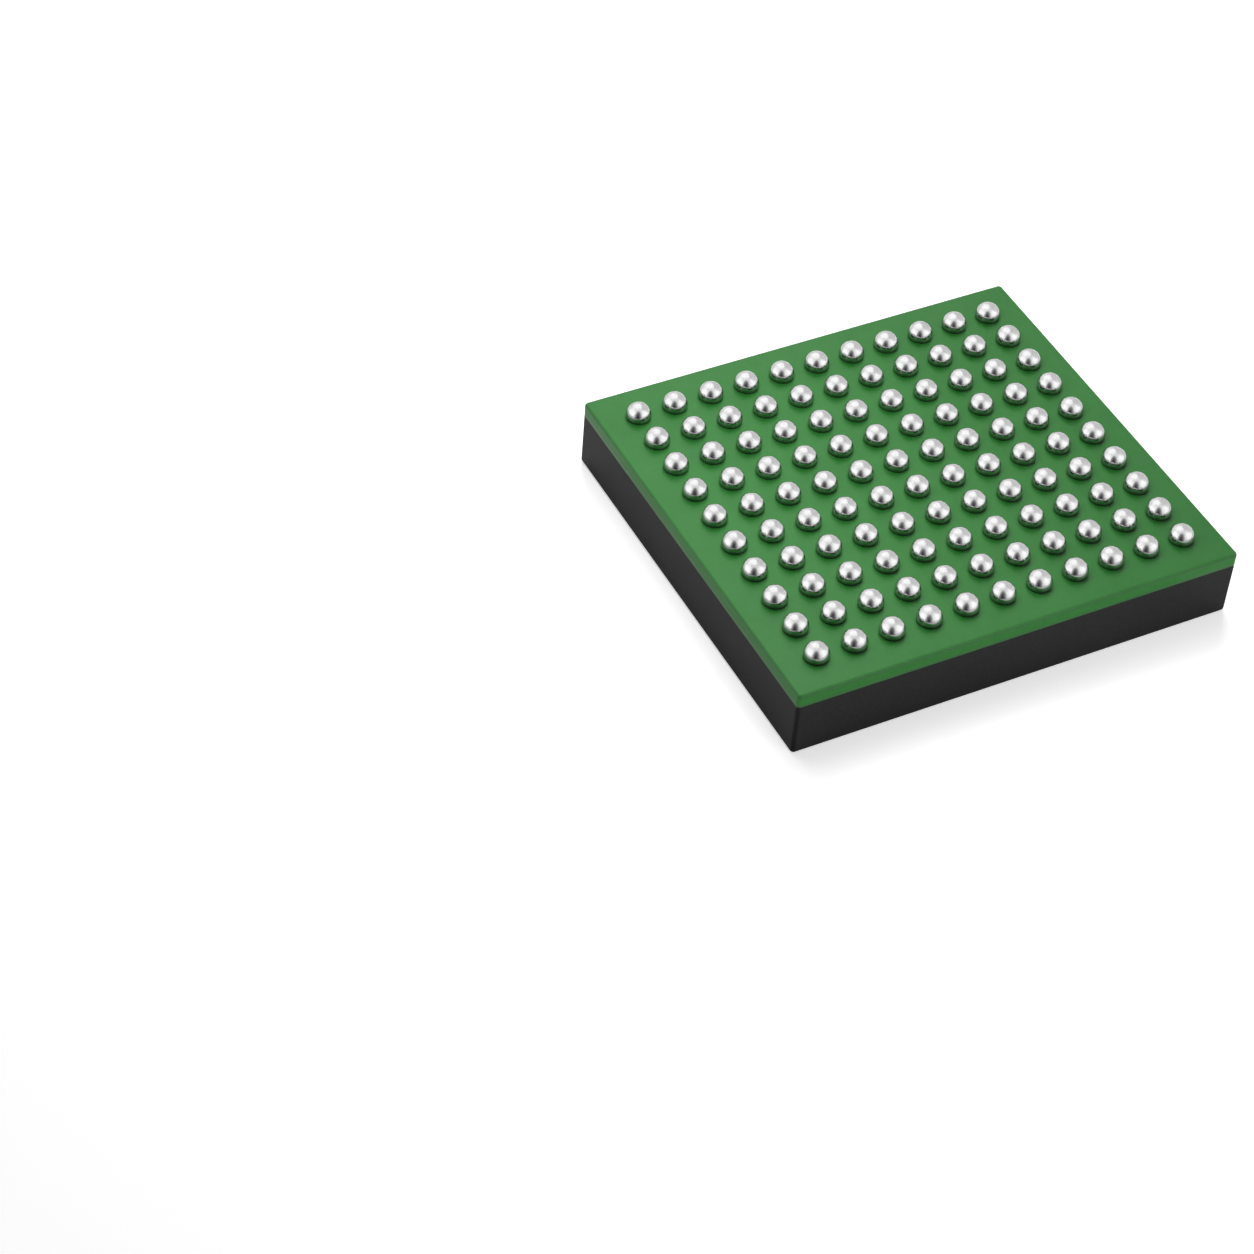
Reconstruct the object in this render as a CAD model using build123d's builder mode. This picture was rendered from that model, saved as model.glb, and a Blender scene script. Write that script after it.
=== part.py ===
from build123d import *
import os
from math import atan2, degrees, sqrt

# A ball grid array chip for a short-range radio, 11 by 10 solder balls, lying on its mould face.
# Lengths are millimetres. The origin is the middle of the mould's flat outer face, +Z points out
# of the ball side, and +X runs along the rows of eleven balls.

# Ball grid
columns = 11
row_letters = "abcdefghjk"
pitch = 0.50
edge_margin = 0.50
ball_diameter = 0.32
mask_opening = 0.31

# Body, from the mould face up
mould_thickness = 0.76
core_thickness = 0.10
copper_thickness = 0.015
mask_thickness = 0.04
corner_radius = 0.05
mould_edge_radius = 0.045
mask_edge_radius = 0.036
dimple_diameter = 0.45
dimple_depth = 0.04
dimple_inset = 0.90

# Copper pattern
signal_rings = 2
land_diameter = 0.38
via_pad_diameter = 0.20
via_drill = 0.10
via_plating = 0.012
neck_width = 0.08
track_width = 0.05
ground_arm_width = 0.10
finger_width = 0.09
finger_length = 0.18
window_web = 0.03

# Die and its wires
die_setback = 0.22
die_thickness = 0.28
attach_thickness = 0.02
island_margin = 0.06
pad_inset = 0.06
pad_gather = 0.75
wire_diameter = 0.025
wire_bend_radius = 0.04
loop_height = 0.12
loop_reach = 0.10
stitch_length = 0.09
stitch_flat = 0.005
bond_diameter = 0.055
bond_height = 0.015


def outward(place):
    """Which way is away from the middle line: the middle itself counts as the low side."""
    return 1 if place > 0 else -1


# Places in the plane
rows = len(row_letters)
ball_x = [(i - (columns - 1) / 2) * pitch for i in range(columns)]
ball_y = [(j - (rows - 1) / 2) * pitch for j in range(rows)]
via_x = [x + outward(x) * pitch / 2 for x in ball_x]
via_y = [y + outward(y) * pitch / 2 for y in ball_y]
via_points = [(x, y) for x in via_x for y in via_y]
body_x = (columns - 1) * pitch + 2 * edge_margin
body_y = (rows - 1) * pitch + 2 * edge_margin
via_pad_radius = via_pad_diameter / 2
via_bore = via_drill - 2 * via_plating

# The ground plane covers the inner vias, the bond window opens just inside the second ring of
# vias, and the die lies on the island of solder mask that the window leaves in its middle
inner_x = via_x[signal_rings:-signal_rings]
inner_y = via_y[signal_rings:-signal_rings]
plane_x = inner_x[-1] + via_pad_radius
plane_y = inner_y[-1] + via_pad_radius
window_x = via_x[-signal_rings] - via_pad_radius - window_web
window_y = via_y[-signal_rings] - via_pad_radius - window_web
die_half_x = inner_x[-1] - die_setback
die_half_y = inner_y[-1] - die_setback
island_x = die_half_x + island_margin
island_y = die_half_y + island_margin

# Levels
core_low = mould_thickness + mask_thickness
core_high = core_low + core_thickness
die_copper_face = core_low - copper_thickness
ball_copper_face = core_high + copper_thickness
mask_face = core_high + mask_thickness
ball_radius = ball_diameter / 2
seat_radius = mask_opening / 2
seat_drop = sqrt(ball_radius**2 - seat_radius**2)
die_face = mould_thickness - attach_thickness - die_thickness
loop_level = die_face - loop_height
wire_radius = wire_diameter / 2
stitch_level = die_copper_face - wire_radius + stitch_flat

# Shapes either stand on the level they are placed at or hang from it
standing = (Align.CENTER, Align.CENTER, Align.MIN)
hanging = (Align.CENTER, Align.CENTER, Align.MAX)


def body_outline():
    """The outline that the mould, the core and both masks share."""
    RectangleRounded(body_x, body_y, corner_radius)


def strip(start, end, width):
    """A round-ended strip between two points of the sketch."""
    run = Vector(*end) - Vector(*start)
    middle = Vector(*start) + run * 0.5
    with Locations((middle.X, middle.Y)):
        SlotCenterToCenter(run.length, width, rotation=degrees(atan2(run.Y, run.X)))


def turned(points, across):
    """The same points with their two coordinates swapped, for the sides along Y."""
    return [(v, u) for u, v in points] if across else points


def signal_tracks(side, across):
    """The tracks and bond fingers of one side: side is its sign, across is true on the X ends.

    A via of the second ring runs straight in to its finger. A via of the outer ring jogs half a
    pitch towards the middle first, into the gap between two vias of the second ring.
    """
    along_vias, along_balls = (via_y, ball_y) if across else (via_x, ball_x)
    depth_vias = via_x if across else via_y
    finger_end = side * (window_x if across else window_y)
    finger_mid = finger_end - side * finger_length / 2
    outer, second = side * depth_vias[-1], side * depth_vias[-2]
    jog = side * (abs(outer) - abs(along_vias[1] - along_balls[1]))
    finger_size = (finger_length, finger_width) if across else (finger_width, finger_length)
    for at_via, at_ball in list(zip(along_vias, along_balls))[signal_rings:-signal_rings]:
        strip(*turned([(at_via, second), (at_via, finger_mid)], across), track_width)
        strip(*turned([(at_via, outer), (at_ball, jog)], across), track_width)
        strip(*turned([(at_ball, jog), (at_ball, finger_mid)], across), track_width)
        with Locations(*turned([(at_via, finger_mid), (at_ball, finger_mid)], across)):
            Rectangle(*finger_size)


def finger_spots(side, across):
    """Where the wires of one side land: the middles of its bond fingers."""
    along_vias, along_balls = (via_y, ball_y) if across else (via_x, ball_x)
    depth = side * ((window_x if across else window_y) - finger_length / 2)
    middle = slice(signal_rings, -signal_rings)
    return turned([(u, depth) for u in sorted(along_vias[middle] + along_balls[middle])], across)


def pad_spot(spot, side, across):
    """The die pad that a finger's wire starts from: closer together than the fingers."""
    if across:
        return (side * (die_half_x - pad_inset), spot[1] * pad_gather)
    return (spot[0] * pad_gather, side * (die_half_y - pad_inset))


def bond_wire(pad, landing):
    """A wire that leaves its ball bond on the die, loops out and lies flat where it lands."""
    heading = (Vector(*landing) - Vector(*pad)).normalized()
    shoulder = Vector(*pad) + heading * loop_reach
    touch = Vector(*landing) - heading * stitch_length / 2
    tail = Vector(*landing) + heading * stitch_length / 2
    with BuildLine() as path:
        FilletPolyline(
            (pad[0], pad[1], die_face - bond_height),
            (pad[0], pad[1], loop_level),
            (shoulder.X, shoulder.Y, loop_level),
            (touch.X, touch.Y, stitch_level),
            (tail.X, tail.Y, stitch_level),
            radius=wire_bend_radius,
        )
    with BuildSketch(Plane(path.line @ 0, z_dir=path.line % 0)) as section:
        Circle(wire_radius)
    sweep(section.sketch, path=path.line)
    with Locations((pad[0], pad[1], die_face)):
        Cylinder(bond_diameter / 2, bond_height, align=hanging)


def flat_stitches():
    """Wires are pressed flat where they land on the copper."""
    split(bisect_by=Plane.XY.offset(die_copper_face), keep=Keep.BOTTOM)


os.makedirs("parts", exist_ok=True)

# Silicon die, on its film of adhesive
with BuildPart() as die_attach_film:
    with BuildSketch(Plane.XY.offset(mould_thickness - attach_thickness)):
        Rectangle(2 * die_half_x, 2 * die_half_y)
    extrude(amount=attach_thickness)

with BuildPart() as silicon_die:
    with BuildSketch(Plane.XY.offset(die_face)):
        Rectangle(2 * die_half_x, 2 * die_half_y)
    extrude(amount=die_thickness)

# Copper on the die side: ground plane with four corner arms, and the signal tracks
with BuildPart() as die_side_copper:
    with BuildSketch(Plane.XY.offset(die_copper_face)):
        Rectangle(2 * plane_x, 2 * plane_y)
        corner_x = (via_x[-1] + via_x[-2]) / 2
        corner_y = (via_y[-1] + via_y[-2]) / 2
        with Locations(*[(sx * corner_x, sy * corner_y) for sx in (-1, 1) for sy in (-1, 1)]):
            Rectangle(pitch + via_pad_diameter, pitch + via_pad_diameter)
        for sx in (-1, 1):
            for sy in (-1, 1):
                arm_start = (sx * inner_x[-1], sy * inner_y[-1])
                strip(arm_start, (sx * via_x[-2], sy * via_y[-2]), ground_arm_width)
        with Locations(*[(x, sy * y) for x in inner_x for y in via_y[-2:] for sy in (-1, 1)]):
            Circle(via_pad_radius)
        with Locations(*[(sx * x, y) for x in via_x[-2:] for y in inner_y for sx in (-1, 1)]):
            Circle(via_pad_radius)
        for side in (-1, 1):
            signal_tracks(side, across=False)
            signal_tracks(side, across=True)
        with Locations(*via_points):
            Circle(via_bore / 2, mode=Mode.SUBTRACT)
    extrude(amount=copper_thickness)

# Bond wires, one node for each side of the die, and two ground wires a side
sides = {"left": (-1, True), "right": (1, True), "front": (-1, False), "back": (1, False)}
wire_nodes = {}
for name, (side, across) in sides.items():
    with BuildPart() as bond_wires:
        for spot in finger_spots(side, across):
            bond_wire(pad_spot(spot, side, across), spot)
        flat_stitches()
    wire_nodes[f"bond_wires_{name}"] = bond_wires.part

with BuildPart() as ground_wires:
    for side, across in sides.values():
        spots = finger_spots(side, across)
        rim = (plane_x + island_x) / 2 if across else (plane_y + island_y) / 2
        for first in (len(spots) // 4, -2 - len(spots) // 4):
            between = (Vector(*spots[first]) + Vector(*spots[first + 1])) * 0.5
            pad = pad_spot((between.X, between.Y), side, across)
            landing = (side * rim, pad[1]) if across else (pad[0], side * rim)
            bond_wire(pad, landing)
    flat_stitches()
wire_nodes["ground_wires"] = ground_wires.part

# Laminate core with its plated and plugged vias
with BuildPart() as substrate_core:
    with BuildSketch(Plane.XY.offset(core_low)):
        body_outline()
        with Locations(*via_points):
            Circle(via_drill / 2, mode=Mode.SUBTRACT)
    extrude(amount=core_thickness)

with BuildPart() as via_barrels:
    with BuildSketch(Plane.XY.offset(core_low)):
        with Locations(*via_points):
            Circle(via_drill / 2)
            Circle(via_bore / 2, mode=Mode.SUBTRACT)
    extrude(amount=core_thickness)

with BuildPart() as via_plugs:
    with BuildSketch(Plane.XY.offset(die_copper_face)):
        with Locations(*via_points):
            Circle(via_bore / 2)
    extrude(amount=core_thickness + 2 * copper_thickness)

# Solder mask on the die side, let in round the copper, with the bond window cut through it
with BuildPart() as die_side_mask:
    with BuildSketch(Plane.XY.offset(mould_thickness)):
        body_outline()
        Rectangle(2 * window_x, 2 * window_y, mode=Mode.SUBTRACT)
        Rectangle(2 * island_x, 2 * island_y)
    extrude(amount=mask_thickness)
    add(die_side_copper.part, mode=Mode.SUBTRACT)
    add(via_plugs.part, mode=Mode.SUBTRACT)

# Copper on the ball side: a land for each ball, joined to its via by a short neck
with BuildPart() as ball_side_copper:
    with BuildSketch(Plane.XY.offset(core_high)):
        with Locations(*[(x, y) for x in ball_x for y in ball_y]):
            Circle(land_diameter / 2)
        with Locations(*via_points):
            Circle(via_pad_radius)
        for x, vx in zip(ball_x, via_x):
            for y, vy in zip(ball_y, via_y):
                strip((x, y), (vx, vy), neck_width)
        with Locations(*via_points):
            Circle(via_bore / 2, mode=Mode.SUBTRACT)
    extrude(amount=copper_thickness)

# Solder mask on the ball side, open over each land
with BuildPart() as ball_side_mask:
    with BuildSketch(Plane.XY.offset(core_high)):
        body_outline()
    extrude(amount=mask_thickness)
    fillet(faces().sort_by(Axis.Z)[-1].edges(), radius=mask_edge_radius)
    with BuildSketch(Plane.XY.offset(core_high)):
        with Locations(*[(x, y) for x in ball_x for y in ball_y]):
            Circle(seat_radius)
    extrude(amount=mask_thickness, mode=Mode.SUBTRACT)
    add(ball_side_copper.part, mode=Mode.SUBTRACT)
    add(via_plugs.part, mode=Mode.SUBTRACT)

# Mould: a rounded block that fills the bond window and closes round the die and its wires
with BuildPart() as mould_cap:
    with BuildSketch():
        body_outline()
    extrude(amount=mould_thickness)
    fillet(faces().sort_by(Axis.Z)[0].edges(), radius=mould_edge_radius)
    with BuildSketch(Plane.XY.offset(mould_thickness)):
        Rectangle(2 * window_x, 2 * window_y)
        Rectangle(2 * island_x, 2 * island_y, mode=Mode.SUBTRACT)
    extrude(amount=mask_thickness)
    with Locations((dimple_inset - body_x / 2, dimple_inset - body_y / 2, 0)):
        Cylinder(dimple_diameter / 2, dimple_depth, align=standing, mode=Mode.SUBTRACT)
    add(silicon_die.part, mode=Mode.SUBTRACT)
    add(die_attach_film.part, mode=Mode.SUBTRACT)
    add(die_side_copper.part, mode=Mode.SUBTRACT)
    add(via_plugs.part, mode=Mode.SUBTRACT)
    for wires in wire_nodes.values():
        add(wires, mode=Mode.SUBTRACT)

pieces = {
    "mould_cap": mould_cap.part,
    "silicon_die": silicon_die.part,
    "die_attach_film": die_attach_film.part,
    **wire_nodes,
    "die_side_mask": die_side_mask.part,
    "die_side_copper": die_side_copper.part,
    "substrate_core": substrate_core.part,
    "via_barrels": via_barrels.part,
    "via_plugs": via_plugs.part,
    "ball_side_copper": ball_side_copper.part,
    "ball_side_mask": ball_side_mask.part,
}

# Solder balls, a node for each row: a short neck in the mask opening under a reflowed ball
for letter, y in zip(row_letters, reversed(ball_y)):
    with BuildPart() as solder_balls:
        with Locations(*[(x, y, ball_copper_face) for x in ball_x]):
            Cylinder(seat_radius, mask_face - ball_copper_face, align=standing)
        with Locations(*[(x, y, mask_face) for x in ball_x]):
            Sphere(ball_radius, arc_size1=-degrees(atan2(seat_drop, seat_radius)), align=standing)
    pieces[f"solder_balls_row_{letter}"] = solder_balls.part

for name, piece in pieces.items():
    piece.label = name
    export_step(piece, f"parts/{name}.step")
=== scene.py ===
"""Looks of a ball grid array chip that lies on its mould face with its solder balls up.

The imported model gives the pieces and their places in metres. The solder balls are modelled again
here as smooth reflowed balls, every surface gets its finish, and a small studio lights the chip.
"""

import logging
import math
import random
from dataclasses import dataclass, field
from enum import Enum
from functools import cached_property, reduce
from operator import add

import bmesh
import bpy
from mathutils import Matrix, Vector


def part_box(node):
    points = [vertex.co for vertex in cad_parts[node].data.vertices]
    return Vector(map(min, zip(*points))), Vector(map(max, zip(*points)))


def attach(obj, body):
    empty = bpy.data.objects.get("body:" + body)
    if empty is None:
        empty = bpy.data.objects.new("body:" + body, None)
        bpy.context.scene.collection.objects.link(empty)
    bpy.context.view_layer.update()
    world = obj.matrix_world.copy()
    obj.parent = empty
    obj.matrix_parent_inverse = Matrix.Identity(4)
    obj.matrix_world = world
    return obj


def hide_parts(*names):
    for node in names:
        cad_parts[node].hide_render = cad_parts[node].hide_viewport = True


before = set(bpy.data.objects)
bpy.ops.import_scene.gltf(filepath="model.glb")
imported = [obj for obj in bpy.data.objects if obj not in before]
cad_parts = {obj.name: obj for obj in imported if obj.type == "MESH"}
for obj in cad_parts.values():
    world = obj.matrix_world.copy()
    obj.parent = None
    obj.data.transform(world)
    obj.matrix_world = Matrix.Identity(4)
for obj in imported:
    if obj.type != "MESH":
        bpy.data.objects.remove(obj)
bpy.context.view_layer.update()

LOG = logging.getLogger("chip")
MM = 0.001
UM = 0.000001
WHITE = (1.0, 1.0, 1.0, 1.0)
Colour = tuple[float, float, float]

# A Mix node has sockets of one name for each kind of data, so its colour sockets go by number
MIX_SHARE, MIX_LOW, MIX_HIGH, MIX_RESULT = 0, 6, 7, 2


class Socket:
    """An output socket that writes Math nodes when it is used in an expression."""

    def __init__(self, graph: "Graph", output: bpy.types.NodeSocket) -> None:
        """Wraps one output.

        Args:
            graph: The graph that new nodes go into.
            output: The socket to wrap.
        """
        self.graph = graph
        self.output = output

    def _math(self, operation: str, *values: object) -> "Socket":
        """Adds one Math node.

        Args:
            operation: The Math node's operation.
            values: Its values or sockets, in order.

        Returns:
            The result as a socket.
        """
        inputs = dict(enumerate(values))
        return self.graph.node("ShaderNodeMath", {"operation": operation}, inputs)["Value"]

    def __add__(self, other: object) -> "Socket":
        """Sum."""
        return self._math("ADD", self, other)

    __radd__ = __add__

    def __sub__(self, other: object) -> "Socket":
        """Difference."""
        return self._math("SUBTRACT", self, other)

    def __rsub__(self, other: object) -> "Socket":
        """Difference with the socket on the right."""
        return self._math("SUBTRACT", other, self)

    def __mul__(self, other: object) -> "Socket":
        """Product."""
        return self._math("MULTIPLY", self, other)

    __rmul__ = __mul__

    def __abs__(self) -> "Socket":
        """Size without its sign."""
        return self._math("ABSOLUTE", self)

    def at_least(self, other: object) -> "Socket":
        """The larger of the two."""
        return self._math("MAXIMUM", self, other)


class Made:
    """A node that has been added, whose outputs are asked for by name or number."""

    def __init__(self, graph: "Graph", node: bpy.types.Node) -> None:
        """Keeps the node.

        Args:
            graph: The graph that holds it.
            node: The node itself.
        """
        self.graph = graph
        self.node = node

    def __getitem__(self, output: str | int) -> Socket:
        """An output as a socket that can be used in an expression."""
        return Socket(self.graph, self.node.outputs[output])


@dataclass(frozen=True)
class Grain:
    """Soft noise with features of a real size, and its shares of a surface's tone, roughness and relief."""

    name: str
    size: float
    octaves: float = 2.0
    coarseness: float = 0.5
    stretch: Colour = (1.0, 1.0, 1.0)
    tone: float = 0.0
    roughness: float = 0.0
    relief: float = 0.0


class Graph:
    """A node tree that is built through one method."""

    def __init__(self, tree: bpy.types.NodeTree) -> None:
        """Starts from an empty tree.

        Args:
            tree: The tree to fill. What it holds is removed.
        """
        self.tree = tree
        tree.nodes.clear()

    def node(self, kind: str, settings: dict | None = None, inputs: dict | None = None) -> Made:
        """Adds a node, sets it up and links it.

        Args:
            kind: The node's type.
            settings: Its own settings. "stops" holds a ramp's (place, grey) pairs.
            inputs: Values or sockets, by input name or number.

        Returns:
            The node that was made.
        """
        node = self.tree.nodes.new(kind)
        for name, value in (settings or {}).items():
            if name == "stops":
                self._set_stops(node.color_ramp, value)
            else:
                setattr(node, name, value)
        for name, value in (inputs or {}).items():
            if isinstance(value, Socket):
                self.tree.links.new(value.output, node.inputs[name])
            else:
                node.inputs[name].default_value = value
        return Made(self, node)

    @staticmethod
    def _set_stops(ramp: bpy.types.ColorRamp, stops: tuple[tuple[float, float], ...]) -> None:
        """Gives a ramp its stops.

        Args:
            ramp: The ramp.
            stops: Places from 0 to 1, each with its grey.
        """
        while len(ramp.elements) < len(stops):
            ramp.elements.new(0.5)
        for element, (place, grey) in zip(ramp.elements, stops):
            element.position = place
            element.color = (grey, grey, grey, 1.0)

    def place(self) -> Made:
        """The place on the object, in metres from the chip's origin, as X, Y and Z."""
        origin = self.node("ShaderNodeTexCoord")["Object"]
        return self.node("ShaderNodeSeparateXYZ", None, {"Vector": origin})

    def noise(self, grain: Grain) -> Socket:
        """Writes a grain's noise.

        Args:
            grain: The grain.

        Returns:
            The noise, about 0.5 in the mean.
        """
        origin = self.node("ShaderNodeTexCoord")["Object"]
        stretched = {"Vector": origin, "Scale": grain.stretch}
        spread = self.node("ShaderNodeMapping", {"vector_type": "POINT"}, stretched)["Vector"]
        sizes = {"Scale": 1 / grain.size, "Detail": grain.octaves, "Roughness": grain.coarseness}
        settings = {"noise_dimensions": "3D", "label": grain.name}
        return self.node("ShaderNodeTexNoise", settings, {"Vector": spread, **sizes})["Fac"]

    def mixed(self, low: "Socket | Colour", high: "Socket | Colour", share: Socket) -> Socket:
        """A colour between two.

        Args:
            low: The colour at 0.
            high: The colour at 1.
            share: The share of the second one.

        Returns:
            The mixed colour.
        """
        ends = [end if isinstance(end, Socket) else (*end, 1.0) for end in (low, high)]
        inputs = {MIX_SHARE: share, MIX_LOW: ends[0], MIX_HIGH: ends[1]}
        return self.node("ShaderNodeMix", {"data_type": "RGBA"}, inputs)[MIX_RESULT]

    def ramp(self, share: Socket, *stops: tuple[float, float]) -> Socket:
        """Maps a value through straight stretches.

        Args:
            share: The value.
            stops: Pairs of place and result.

        Returns:
            The mapped value.
        """
        return self.node("ShaderNodeValToRGB", {"stops": stops}, {"Fac": share})["Color"]

    def rising(self, share: Socket, start: float, end: float) -> Socket:
        """0 below one value, growing evenly to 1 at another."""
        return self.ramp(share, (start, 0.0), (end, 1.0))

    def falling(self, share: Socket, start: float, end: float) -> Socket:
        """1 below one value, sinking evenly to 0 at another."""
        return self.ramp(share, (start, 1.0), (end, 0.0))

    def bump(self, height: Socket, distance: float) -> Socket:
        """A bumped normal, where a height of 1 stands this many metres high."""
        return self.node("ShaderNodeBump", None, {"Height": height, "Distance": distance})["Normal"]


def new_material(name: str) -> tuple[bpy.types.Material, Graph]:
    """Makes an empty node material.

    Args:
        name: The material's name.

    Returns:
        The material and its graph.
    """
    material = bpy.data.materials.new(name)
    material.use_nodes = True
    return material, Graph(material.node_tree)


def total(layers: list[tuple[float, Socket]]) -> Socket:
    """Adds layers up, each by its share.

    Args:
        layers: The share and the noise of each layer. One without a share is left out.

    Returns:
        The sum.
    """
    return reduce(add, [noise * share for share, noise in layers if share])


@dataclass(frozen=True)
class Surface:
    """A finish whose colour, roughness and relief come from layers of grain."""

    name: str
    dark: Colour
    pale: Colour
    contrast: tuple[float, float]
    roughness: float
    relief: float
    grains: tuple[Grain, ...]
    specular: float = 0.5
    metallic: float = 0.0

    def material(self) -> bpy.types.Material:
        """Makes the material.

        Returns:
            The finished material.
        """
        material, g = new_material(self.name)
        layers = [(grain, g.noise(grain)) for grain in self.grains]
        tone = total([(grain.tone, noise) for grain, noise in layers])
        face = g.mixed(self.dark, self.pale, g.rising(tone, *self.contrast))
        inputs = {
            "Base Color": self.coloured(g, face, tone),
            "Metallic": self.metallic,
            "Roughness": self.roughness + total([(grain.roughness, noise) for grain, noise in layers]),
            "Specular IOR Level": self.specular,
            "Normal": g.bump(total([(grain.relief, noise) for grain, noise in layers]), self.relief),
        }
        shader = g.node("ShaderNodeBsdfPrincipled", None, inputs)
        g.node("ShaderNodeOutputMaterial", None, {"Surface": shader["BSDF"]})
        return material

    def coloured(self, g: Graph, face: Socket, tone: Socket) -> Socket:
        """The colour of the whole surface: that of its face, unless a finish adds to it."""
        return face


@dataclass(frozen=True)
class MouldCompound(Surface):
    """Moulded epoxy, with painted shade on the foot edge and along each upright corner."""

    # The colour of the painted shade on the foot edge and the upright corner edges, and the width and fades
    # of that painted shade.
    edge: Colour = (0.004, 0.004, 0.004)
    painted_shade_width: float = 0.055 * MM
    corner_shade_fade: tuple[float, float] = (0.45, 1.0)
    foot_shade_fade: tuple[float, float] = (0.25, 0.85)

    def coloured(self, g: Graph, face: Socket, tone: Socket) -> Socket:
        """Paints shade onto the rounded edges: the foot edge and the upright corner edges.

        Args:
            g: The graph.
            face: The colour of the flat faces.
            tone: The sum of the grains, not used here.

        Returns:
            The colour of the whole surface.
        """
        half_x, half_y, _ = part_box("mould_cap")[1]
        place = g.place()
        # Painted shade: darkest on the foot edge and on the upright corner edges, fading inwards.
        inside = (half_x - abs(place["X"])).at_least(half_y - abs(place["Y"]))
        corner_shade = g.falling(inside * (1 / self.painted_shade_width), *self.corner_shade_fade)
        foot = g.falling(place["Z"] * (1 / self.painted_shade_width), *self.foot_shade_fade)
        return g.mixed(face, self.edge, corner_shade.at_least(foot))


@dataclass(frozen=True)
class ReflowedSolder(Surface):
    """Bright solder with painted shade that darkens each ball towards its foot."""

    # The colour of the painted shade at each ball's foot, and the ramp of that painted shade over the
    # ball's height.
    foot: Colour = (0.10, 0.10, 0.10)
    painted_shade_ramp: tuple[tuple[float, float], ...] = ((0.0, 0.0), (0.22, 0.38), (0.47, 0.6), (0.61, 1.0))
    unevenness: float = 0.08

    def coloured(self, g: Graph, face: Socket, tone: Socket) -> Socket:
        """Paints shade on the foot of each ball.

        Args:
            g: The graph.
            face: The colour of the metal above the painted shade.
            tone: The sum of the grains, which makes the painted shade's limit uneven.

        Returns:
            The colour of the whole surface.
        """
        # Painted shade: each ball darkens from its middle down to its foot.
        seat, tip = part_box("ball_side_mask")[1][2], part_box("solder_balls_row_a")[1][2]
        height = (g.place()["Z"] - seat) * (1 / (tip - seat)) + (tone - 0.5) * self.unevenness
        return g.mixed(self.foot, face, g.ramp(height, *self.painted_shade_ramp))


class Finish(Enum):
    """The finishes of the chip's pieces."""

    MOULD = MouldCompound(
        "mould_compound",
        dark=(0.014, 0.014, 0.0142),
        pale=(0.027, 0.027, 0.0274),
        contrast=(0.36, 0.64),
        roughness=0.5,
        relief=1.6 * UM,
        grains=(
            Grain("leather", 0.045 * MM, 4.0, 0.6, tone=0.45, roughness=0.14, relief=0.7),
            Grain("filler", 0.014 * MM, tone=0.35, relief=0.3),
            Grain("patches", 1.1 * MM, tone=0.20, roughness=0.06),
        ),
        specular=0.2,
    )
    MASK = Surface(
        "green_solder_mask",
        dark=(0.014, 0.142, 0.016),
        pale=(0.023, 0.172, 0.026),
        contrast=(0.3, 0.7),
        roughness=0.27,
        relief=0.35 * UM,
        grains=(
            Grain("mottle", 0.9 * MM, 3.0, tone=0.55, roughness=0.10),
            Grain("orange_peel", 0.11 * MM, 2.0, 0.45, tone=0.30, relief=0.8),
            Grain("dust", 0.02 * MM, 1.0, tone=0.15, roughness=0.04, relief=0.2),
        ),
    )
    CORE = Surface(
        "laminate_core",
        dark=(0.022, 0.196, 0.024),
        pale=(0.034, 0.230, 0.037),
        contrast=(0.35, 0.65),
        roughness=0.34,
        relief=0.6 * UM,
        grains=(
            Grain("glass_bundles", 0.16 * MM, 3.0, 0.55, (0.35, 0.35, 5.0), tone=0.65, relief=0.65),
            Grain("saw", 0.03 * MM, stretch=(1.0, 1.0, 0.15), tone=0.35, roughness=0.12, relief=0.35),
        ),
        specular=0.25,
    )
    SOLDER = ReflowedSolder(
        "reflowed_solder",
        dark=(0.84, 0.84, 0.845),
        pale=(0.94, 0.94, 0.94),
        contrast=(0.35, 0.6),
        roughness=0.078,
        relief=0.5 * UM,
        grains=(
            Grain("ripple", 0.09 * MM, relief=1.0),
            Grain("haze", 0.0315 * MM, 3.0, 0.6, tone=1.0, roughness=0.104),
        ),
        metallic=1.0,
    )
    COPPER = Surface(
        "etched_copper",
        dark=(0.62, 0.27, 0.14),
        pale=(0.86, 0.46, 0.28),
        contrast=(0.35, 0.6),
        roughness=0.192,
        relief=0.4 * UM,
        grains=(
            Grain("ripple", 0.03 * MM, relief=1.0),
            Grain("haze", 0.0105 * MM, 3.0, 0.6, tone=1.0, roughness=0.256),
        ),
        metallic=1.0,
    )
    GOLD = Surface(
        "gold_wire",
        dark=(0.86, 0.60, 0.20),
        pale=(0.97, 0.74, 0.32),
        contrast=(0.35, 0.6),
        roughness=0.108,
        relief=0.2 * UM,
        grains=(
            Grain("ripple", 0.02 * MM, relief=1.0),
            Grain("haze", 0.007 * MM, 3.0, 0.6, tone=1.0, roughness=0.144),
        ),
        metallic=1.0,
    )
    SILICON = Surface(
        "polished_silicon",
        dark=(0.05, 0.055, 0.065),
        pale=(0.09, 0.095, 0.11),
        contrast=(0.35, 0.65),
        roughness=0.128,
        relief=0.3 * UM,
        grains=(Grain("polish", 0.2 * MM, 3.0, 0.55, tone=1.0, roughness=0.064, relief=1.0),),
    )
    FILM = Surface(
        "attach_film",
        dark=(0.42, 0.36, 0.21),
        pale=(0.55, 0.49, 0.32),
        contrast=(0.35, 0.65),
        roughness=0.48,
        relief=0.3 * UM,
        grains=(Grain("resin", 0.05 * MM, 3.0, 0.55, tone=1.0, roughness=0.24, relief=1.0),),
    )
    PLUG = Surface(
        "via_plug_ink",
        dark=(0.02, 0.12, 0.03),
        pale=(0.04, 0.18, 0.05),
        contrast=(0.35, 0.65),
        roughness=0.36,
        relief=0.3 * UM,
        grains=(Grain("ink", 0.03 * MM, 3.0, 0.55, tone=1.0, roughness=0.18, relief=1.0),),
    )


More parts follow.
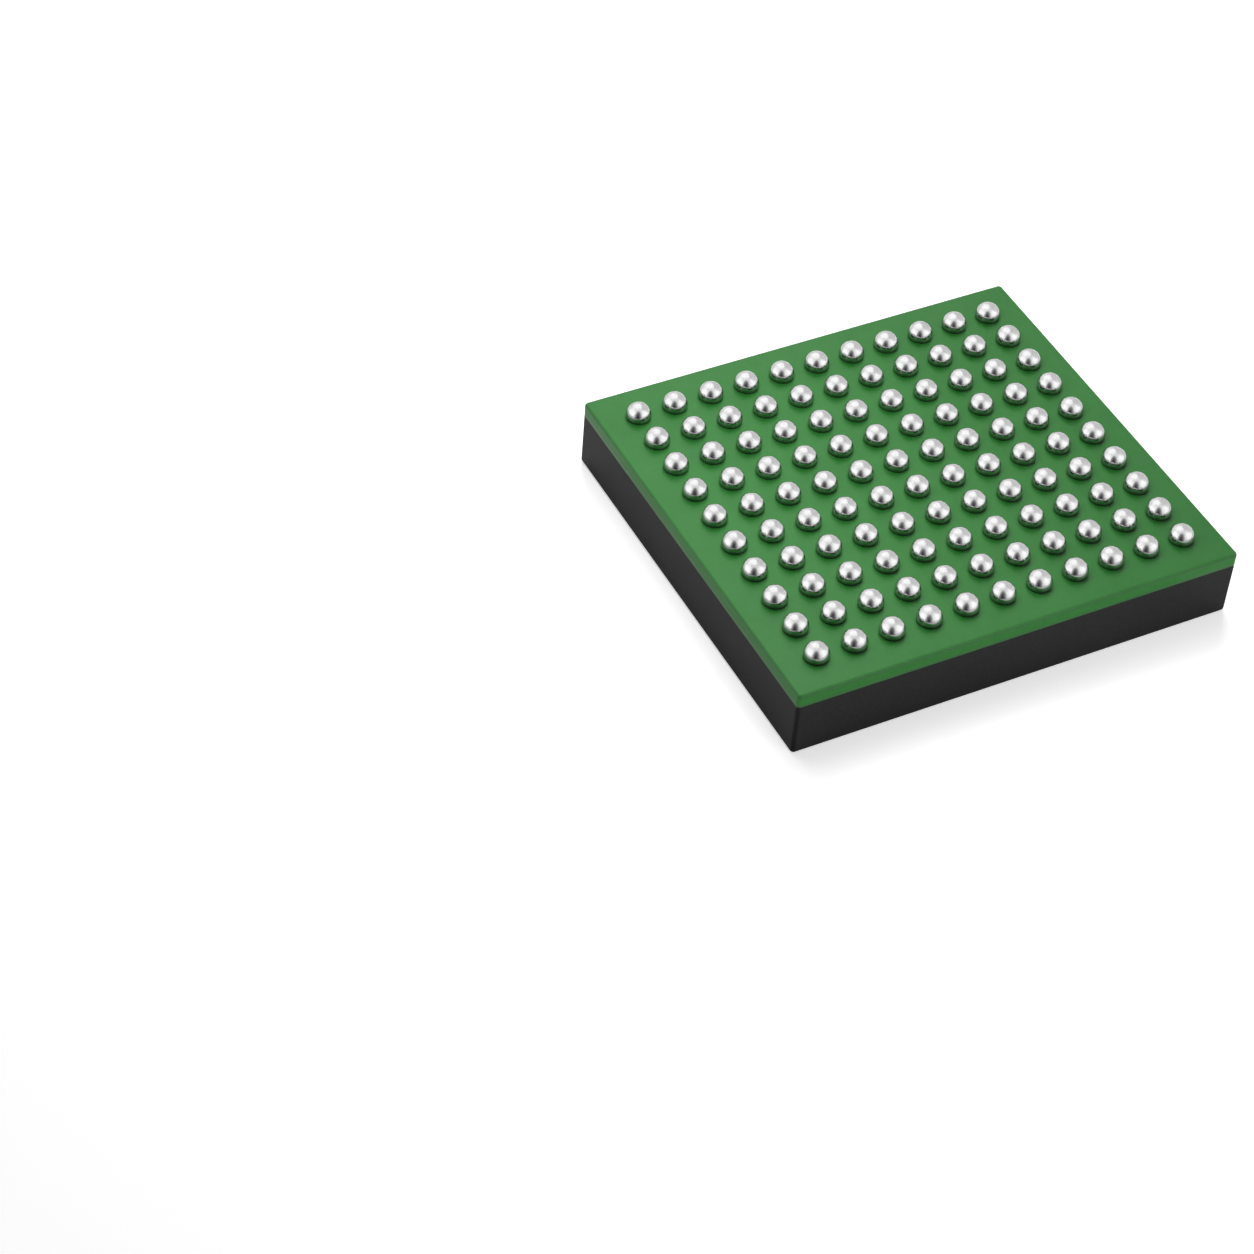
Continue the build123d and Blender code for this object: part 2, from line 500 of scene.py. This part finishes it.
DRESSING = {
    "mould_cap": Finish.MOULD,
    "silicon_die": Finish.SILICON,
    "die_attach_film": Finish.FILM,
    "bond_wires_left": Finish.GOLD,
    "bond_wires_right": Finish.GOLD,
    "bond_wires_front": Finish.GOLD,
    "bond_wires_back": Finish.GOLD,
    "ground_wires": Finish.GOLD,
    "die_side_mask": Finish.MASK,
    "die_side_copper": Finish.COPPER,
    "substrate_core": Finish.CORE,
    "via_barrels": Finish.COPPER,
    "via_plugs": Finish.PLUG,
    "ball_side_copper": Finish.COPPER,
    "ball_side_mask": Finish.MASK,
}


@dataclass
class Package:
    """The moulded body and the laminate, which keep their own shapes and get their finishes."""

    rounded: tuple[str, ...] = ("mould_cap", "ball_side_mask", "substrate_core", "die_side_mask")
    smooth_below: float = math.radians(35)
    weld: float = 0.05 * UM
    materials: dict[Finish, bpy.types.Material] = field(default_factory=dict)

    def build(self) -> None:
        """Dresses each carried-over piece and smooths those with rounded edges."""
        for name, finish in DRESSING.items():
            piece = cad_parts[name]
            piece.data.materials.clear()
            piece.data.materials.append(self.material(finish))
            LOG.info("%s is finished as %s", name, finish.name.lower())
        for name in self.rounded:
            self._smooth(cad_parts[name])

    def material(self, finish: Finish) -> bpy.types.Material:
        """The material of a finish, made once.

        Args:
            finish: The finish.

        Returns:
            Its material.
        """
        if finish not in self.materials:
            self.materials[finish] = finish.value.material()
        return self.materials[finish]

    def _smooth(self, piece: bpy.types.Object) -> None:
        """Shades a piece's rounded edges smoothly, with its shape as it is.

        Args:
            piece: The piece.
        """
        for face in piece.data.polygons:
            face.use_smooth = True
        piece.modifiers.new("weld", "WELD").merge_threshold = self.weld
        piece.modifiers.new("crease", "EDGE_SPLIT").split_angle = self.smooth_below


@dataclass
class SolderBalls:
    """The reflowed balls: near spheres, each on a short neck in its mask opening."""

    columns: int = 11
    letters: str = "abcdefghjk"
    steps: int = 32
    rings: int = 15
    size_spread: float = 0.006
    seed: int = 11
    merge_distance: float = 0.1 * UM

    def build(self, material: bpy.types.Material) -> None:
        """Makes one piece for each row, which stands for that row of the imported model.

        Args:
            material: The solder.
        """
        draw = random.Random(self.seed)
        middles = [self._middle(f"solder_balls_row_{letter}") for letter in self.letters]
        pitch = middles[0].y - middles[1].y
        for letter, middle in zip(self.letters, middles):
            row = bmesh.new()
            for column in range(self.columns):
                centre = middle + Vector(((column - (self.columns - 1) / 2) * pitch, 0, 0))
                self._add_ball(row, centre, self.radius * (1 - draw.random() * self.size_spread))
            bmesh.ops.remove_doubles(row, verts=row.verts, dist=self.merge_distance)
            bmesh.ops.recalc_face_normals(row, faces=row.faces)
            for face in row.faces:
                face.smooth = True
            piece = as_object(f"reflowed_balls_row_{letter}", row, material)
            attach(piece, "root")
            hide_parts(f"solder_balls_row_{letter}")
            LOG.info("%s has %d faces", piece.name, len(piece.data.polygons))

    @cached_property
    def radius(self) -> float:
        """The balls' radius, from the width of a packed row."""
        low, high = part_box(f"solder_balls_row_{self.letters[0]}")
        return (high[1] - low[1]) / 2

    @cached_property
    def neck(self) -> tuple[float, float]:
        """The heights that each neck stands on and ends at: the land's face and the mask's."""
        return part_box("ball_side_copper")[1][2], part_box("ball_side_mask")[1][2]

    def _middle(self, node: str) -> Vector:
        """The middle of a row, at the height of its spheres' middles."""
        low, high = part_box(node)
        return Vector((0.0, (low[1] + high[1]) / 2, high[2] - self.radius))

    def _add_ball(self, row: bmesh.types.BMesh, centre: Vector, radius: float) -> None:
        """Spins one ball with its neck.

        Args:
            row: The row's mesh.
            centre: The middle of the sphere.
            radius: The sphere's radius.
        """
        land, mask_face = self.neck
        lowest = math.asin((mask_face - centre.z) / radius)
        outline = [(0.0, land), (radius * math.cos(lowest), land)]
        for ring in range(self.rings + 1):
            rise = lowest + (math.pi / 2 - lowest) * ring / self.rings
            outline.append((radius * math.cos(rise), centre.z + radius * math.sin(rise)))
        foot = Vector((centre.x, centre.y, 0.0))
        verts = [row.verts.new(foot + Vector((across, 0.0, height))) for across, height in outline]
        edges = [row.edges.new(pair) for pair in zip(verts, verts[1:])]
        bmesh.ops.spin(
            row,
            geom=verts + edges,
            cent=foot,
            axis=(0, 0, 1),
            angle=math.tau,
            steps=self.steps,
            use_merge=True,
        )


def as_object(name: str, form: bmesh.types.BMesh, material: bpy.types.Material) -> bpy.types.Object:
    """Turns a finished bmesh into an object of the scene.

    Args:
        name: The object's name.
        form: The bmesh, which is freed.
        material: Its material.

    Returns:
        The object.
    """
    mesh = bpy.data.meshes.new(name)
    form.to_mesh(mesh)
    form.free()
    mesh.materials.append(material)
    piece = bpy.data.objects.new(name, mesh)
    bpy.context.scene.collection.objects.link(piece)
    return piece


def stage_sheet(
    name: str, half_width: float, half_height: float, material: bpy.types.Material
) -> bpy.types.Object:
    """Adds a flat sheet that isn't part of the chip: the table or a card.

    Args:
        name: The sheet's name.
        half_width: Half its size along its own X.
        half_height: Half its size along its own Y.
        material: Its material.

    Returns:
        The sheet.
    """
    form = bmesh.new()
    bmesh.ops.create_grid(form, x_segments=1, y_segments=1, size=1.0)
    bmesh.ops.scale(form, vec=(half_width, half_height, 1.0), verts=form.verts)
    sheet = as_object(name, form, material)
    return sheet


@dataclass(frozen=True)
class Spot:
    """A place round the chip.

    The bearing is in degrees round from the front (-Y), growing towards +X, the rise in degrees
    above the table, and the distance in metres.
    """

    bearing: float
    rise: float
    distance: float

    @property
    def away(self) -> Vector:
        """The way to this place from the chip, with a length of 1."""
        bearing, rise = math.radians(self.bearing), math.radians(self.rise)
        level = Vector((math.sin(bearing), -math.cos(bearing), 0.0))
        return level * math.cos(rise) + Vector((0.0, 0.0, math.sin(rise)))

    def hold(self, piece: bpy.types.Object, centre: Vector) -> None:
        """Puts a lamp or a card here, facing the chip.

        Args:
            piece: The lamp or card.
            centre: What it faces.
        """
        piece.location = centre + self.away * self.distance
        piece.rotation_euler = self.away.to_track_quat("Z", "Y").to_euler()


@dataclass(frozen=True)
class Softbox:
    """A near softbox that lights the chip and isn't seen or mirrored itself."""

    name: str
    spot: Spot
    size: float
    brightness: float

    def build(self, centre: Vector) -> None:
        """Adds the lamp.

        Args:
            centre: What it faces.
        """
        lamp = bpy.data.lights.new(self.name, "AREA")
        lamp.shape = "SQUARE"
        lamp.size = self.size
        lamp.energy = self.brightness * math.pi * self.size**2
        piece = bpy.data.objects.new(self.name, lamp)
        self.spot.hold(piece, centre)
        piece.visible_camera = False
        piece.visible_glossy = False
        bpy.context.scene.collection.objects.link(piece)


@dataclass(frozen=True)
class Card:
    """A soft-edged card that only shows in the bright solder and in the gloss of the mask.

    Its tone is even over the core, a share of its half sizes, and fades out from there to its edge.
    """

    name: str
    spot: Spot
    half_width: float
    half_height: float
    tone: float
    core: float = 0.0

    def build(self, centre: Vector) -> None:
        """Adds the card.

        Args:
            centre: What it faces.
        """
        card = stage_sheet(self.name, self.half_width, self.half_height, self._material())
        self.spot.hold(card, centre)
        card.visible_camera = False
        card.visible_diffuse = False
        card.visible_shadow = False

    def _material(self) -> bpy.types.Material:
        """Makes the glow.

        Returns:
            The material.
        """
        material, g = new_material(self.name)
        place = g.place()
        across = place["X"] * (1 / self.half_width)
        along = place["Y"] * (1 / self.half_height)
        share = g.falling(across * across + along * along, self.core**2, 1.0)
        clear = g.node("ShaderNodeBsdfTransparent")
        glow = g.node("ShaderNodeEmission", None, {"Color": WHITE, "Strength": self.tone})
        both = g.node("ShaderNodeMixShader", None, {0: share, 1: clear["BSDF"], 2: glow["Emission"]})
        g.node("ShaderNodeOutputMaterial", None, {"Surface": both["Shader"]})
        return material


@dataclass
class Studio:
    """A white table in a plain white tent, with near softboxes and cards round the chip."""

    table_half: float = 0.6
    table_paper: Colour = (0.85, 0.85, 0.85)
    table_glow: float = 0.56
    table_gap: float = 2 * UM
    tent_light: float = 0.22
    tent_mirrored: float = 0.68
    softboxes: tuple[Softbox, ...] = (
        Softbox("softbox_back", Spot(151.0, 49.0, 36 * MM), size=18 * MM, brightness=7.0),
        Softbox("softbox_left", Spot(-112.0, 70.0, 7 * MM), size=5 * MM, brightness=4.6),
        Softbox("softbox_front", Spot(12.0, 14.0, 20 * MM), size=10 * MM, brightness=3.1),
    )
    cards: tuple[Card, ...] = (
        Card("card_left", Spot(-106.0, 18.0, 60 * MM), 60 * MM, 56 * MM, tone=1.10),
        Card("card_right", Spot(46.0, 28.0, 60 * MM), 52 * MM, 52 * MM, tone=1.08),
        Card("card_back", Spot(178.0, 56.0, 25 * MM), 20 * MM, 25 * MM, tone=1.04, core=0.3),
        Card("card_shade", Spot(114.0, 40.0, 26 * MM), 27 * MM, 22 * MM, tone=0.57),
        Card("camera_stand", Spot(-37.0, 13.0, 60 * MM), 40 * MM, 100 * MM, tone=0.03),
    )

    def build(self) -> None:
        """Builds the table, the tent, the softboxes and the cards."""
        self._table()
        self._tent()
        centre = Vector((0.0, 0.0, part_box("ball_side_mask")[1][2]))
        for piece in self.softboxes + self.cards:
            piece.build(centre)

    def _table(self) -> None:
        """Adds the table, which shows white and keeps the chip's shadow."""
        material, g = new_material("white_table")
        seen = g.node("ShaderNodeLightPath")["Is Camera Ray"]
        paper = g.node("ShaderNodeBsdfDiffuse", None, {"Color": (*self.table_paper, 1.0)})
        glow = g.node("ShaderNodeEmission", None, {"Color": WHITE, "Strength": seen * self.table_glow})
        both = g.node("ShaderNodeAddShader", None, {0: paper["BSDF"], 1: glow["Emission"]})
        g.node("ShaderNodeOutputMaterial", None, {"Surface": both["Shader"]})
        table = stage_sheet("table", self.table_half, self.table_half, material)
        table.location.z = -self.table_gap

    def _tent(self) -> None:
        """Adds the tent: white behind the table, and greyer where it lights and is mirrored."""
        world = bpy.data.worlds.new("tent")
        bpy.context.scene.world = world
        world.use_nodes = True
        g = Graph(world.node_tree)
        path = g.node("ShaderNodeLightPath")
        mirrored = path["Is Glossy Ray"] * (self.tent_mirrored - self.tent_light)
        strength = self.tent_light + mirrored + path["Is Camera Ray"] * (1 - self.tent_light)
        sky = g.node("ShaderNodeBackground", None, {"Color": WHITE, "Strength": strength})
        g.node("ShaderNodeOutputWorld", None, {"Surface": sky["Background"]})


@dataclass(frozen=True)
class Camera:
    """The photograph's camera, held by its spot round the point that it aims at."""

    spot: Spot = Spot(-30.131, 44.496, 40.582 * MM)
    roll: float = 4.808
    aim: tuple[float, float, float] = (-3.798 * MM, -0.138 * MM, 0.0)
    lens: float = 98.19
    sensor: float = 36.0
    clip: tuple[float, float] = (1 * MM, 10.0)

    def build(self) -> None:
        """Adds the camera and makes it the scene's."""
        lens = bpy.data.cameras.new("camera")
        lens.lens = self.lens
        lens.sensor_width = self.sensor
        lens.sensor_height = self.sensor
        lens.clip_start, lens.clip_end = self.clip
        camera = bpy.data.objects.new("camera", lens)
        back = self.spot.away
        right = Vector((0.0, 0.0, 1.0)).cross(back).normalized()
        upright = Matrix((right, back.cross(right), back)).transposed()
        pose = (Matrix.Rotation(math.radians(self.roll), 3, back) @ upright).to_4x4()
        pose.translation = Vector(self.aim) + back * self.spot.distance
        camera.matrix_world = pose
        bpy.context.scene.collection.objects.link(camera)
        bpy.context.scene.camera = camera


def main() -> None:
    """Builds the camera, the chip and the studio in order."""
    logging.basicConfig(level=logging.INFO, format="%(message)s")
    bpy.context.scene.view_settings.view_transform = "Standard"
    Camera().build()
    package = Package()
    package.build()
    SolderBalls().build(package.material(Finish.SOLDER))
    Studio().build()


if __name__ == "__main__":
    main()
